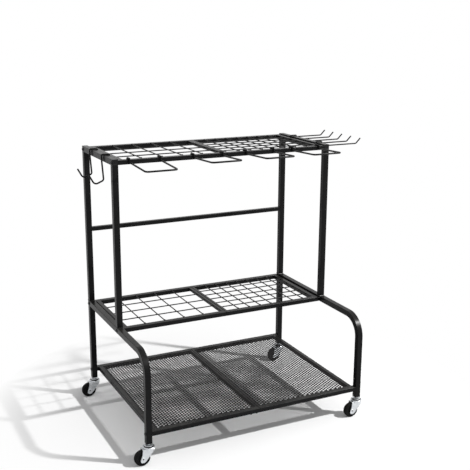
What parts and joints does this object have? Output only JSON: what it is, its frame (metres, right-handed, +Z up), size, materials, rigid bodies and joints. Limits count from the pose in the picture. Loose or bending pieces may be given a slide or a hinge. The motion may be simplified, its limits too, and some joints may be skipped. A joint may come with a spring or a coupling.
{
  "type": "freestanding garden tool rack",
  "caption": "Black steel tool rack on swivel casters with wire-grid top and middle shelves, a deeper perforated lower shelf and lift-off hooks.",
  "frame": {"origin": "on the floor under the middle of the overall box", "axes": "+X to the right along the front, +Y to the back, +Z up"},
  "size_m": [1.0178, 0.611, 0.9615],
  "materials": {
    "black_coat": "satin black powder coat",
    "black_wire": "satin black powder coat over welded wire",
    "black_rod": "semi-gloss black coat over bent rod",
    "perforated_steel": "satin black powder coat over perforated sheet",
    "black_bolt": "black-plated button-head bolt",
    "zinc_plate": "bright zinc plate",
    "wheel_rubber": "matt black rubber tread and hub"
  },
  "bodies": {
    "rack": {"left_side_tube": "black_coat", "left_back_leg": "black_coat", "left_front_post": "black_coat", "left_back_post": "black_coat", "left_top_rail": "black_coat", "right_side_tube": "black_coat", "right_back_leg": "black_coat", "right_front_post": "black_coat", "right_back_post": "black_coat", "right_top_rail": "black_coat", "back_cross_rail": "black_coat", "top_left_grid_frame": "black_coat", "top_left_grid_wires": "black_wire", "top_right_grid_frame": "black_coat", "top_right_grid_wires": "black_wire", "middle_left_grid_frame": "black_coat", "middle_left_grid_wires": "black_wire", "middle_right_grid_frame": "black_coat", "middle_right_grid_wires": "black_wire", "lower_left_shelf_frame": "black_coat", "lower_left_perforated_sheet": "perforated_steel", "lower_right_shelf_frame": "black_coat", "lower_right_perforated_sheet": "perforated_steel", "back_left_top_bolt": "black_bolt", "front_left_top_bolt": "black_bolt", "back_right_top_bolt": "black_bolt", "front_right_top_bolt": "black_bolt", "back_left_middle_bolt": "black_bolt", "front_left_middle_bolt": "black_bolt", "back_right_middle_bolt": "black_bolt", "front_right_middle_bolt": "black_bolt", "back_left_lower_bolt": "black_bolt", "front_left_lower_bolt": "black_bolt", "back_right_lower_bolt": "black_bolt", "front_right_lower_bolt": "black_bolt", "front_left_caster_stem": "zinc_plate", "front_right_caster_stem": "zinc_plate", "back_left_caster_stem": "zinc_plate", "back_right_caster_stem": "zinc_plate"},
    "front_left_swivel": {"front_left_caster_fork": "zinc_plate", "front_left_caster_axle": "zinc_plate"},
    "front_left_wheel": {"front_left_caster_wheel": "wheel_rubber"},
    "front_right_swivel": {"front_right_caster_fork": "zinc_plate", "front_right_caster_axle": "zinc_plate"},
    "front_right_wheel": {"front_right_caster_wheel": "wheel_rubber"},
    "back_left_swivel": {"back_left_caster_fork": "zinc_plate", "back_left_caster_axle": "zinc_plate"},
    "back_left_wheel": {"back_left_caster_wheel": "wheel_rubber"},
    "back_right_swivel": {"back_right_caster_fork": "zinc_plate", "back_right_caster_axle": "zinc_plate"},
    "back_right_wheel": {"back_right_caster_wheel": "wheel_rubber"},
    "far_left_loop": {"far_left_loop_hook": "black_rod"},
    "left_loop": {"left_loop_hook": "black_rod"},
    "right_loop": {"right_loop_hook": "black_rod"},
    "far_right_loop": {"far_right_loop_hook": "black_rod"},
    "rear_side": {"rear_side_hook": "black_rod"},
    "front_side": {"front_side_hook": "black_rod"},
    "five_prong_rest": {"five_prong_hook": "black_rod"}
  },
  "joints": [
    {"name": "front_left_caster_swivel", "type": "hinge", "parent": "rack", "child": "front_left_swivel", "pos_m": [-0.44717, -0.2855, 0.0585], "axis": [0, 0, 1], "continuous": true},
    {"name": "front_left_wheel_roll", "type": "hinge", "parent": "front_left_swivel", "child": "front_left_wheel", "pos_m": [-0.46997, -0.2855, 0.02679], "axis": [0, 1, 0], "continuous": true},
    {"name": "front_right_caster_swivel", "type": "hinge", "parent": "rack", "child": "front_right_swivel", "pos_m": [0.34733, -0.2855, 0.0585], "axis": [0, 0, 1], "continuous": true},
    {"name": "front_right_wheel_roll", "type": "hinge", "parent": "front_right_swivel", "child": "front_right_wheel", "pos_m": [0.32453, -0.2855, 0.02679], "axis": [0, 1, 0], "continuous": true},
    {"name": "back_left_caster_swivel", "type": "hinge", "parent": "rack", "child": "back_left_swivel", "pos_m": [-0.44717, 0.2855, 0.0585], "axis": [0, 0, 1], "continuous": true},
    {"name": "back_left_wheel_roll", "type": "hinge", "parent": "back_left_swivel", "child": "back_left_wheel", "pos_m": [-0.46997, 0.2855, 0.02679], "axis": [0, 1, 0], "continuous": true},
    {"name": "back_right_caster_swivel", "type": "hinge", "parent": "rack", "child": "back_right_swivel", "pos_m": [0.34733, 0.2855, 0.0585], "axis": [0, 0, 1], "continuous": true},
    {"name": "back_right_wheel_roll", "type": "hinge", "parent": "back_right_swivel", "child": "back_right_wheel", "pos_m": [0.32453, 0.2855, 0.02679], "axis": [0, 1, 0], "continuous": true},
    {"name": "far_left_loop_lift_off", "type": "slide", "parent": "rack", "child": "far_left_loop", "axis": [0, 0, 1], "range_m": [0, 0.03]},
    {"name": "left_loop_lift_off", "type": "slide", "parent": "rack", "child": "left_loop", "axis": [0, 0, 1], "range_m": [0, 0.03]},
    {"name": "right_loop_lift_off", "type": "slide", "parent": "rack", "child": "right_loop", "axis": [0, 0, 1], "range_m": [0, 0.03]},
    {"name": "far_right_loop_lift_off", "type": "slide", "parent": "rack", "child": "far_right_loop", "axis": [0, 0, 1], "range_m": [0, 0.03]},
    {"name": "rear_side_lift_off", "type": "slide", "parent": "rack", "child": "rear_side", "axis": [0, 0, 1], "range_m": [0, 0.018]},
    {"name": "front_side_lift_off", "type": "slide", "parent": "rack", "child": "front_side", "axis": [0, 0, 1], "range_m": [0, 0.018]},
    {"name": "five_prong_lift_off", "type": "slide", "parent": "rack", "child": "five_prong_rest", "axis": [0, 0, 1], "range_m": [0, 0.03]}
  ]
}
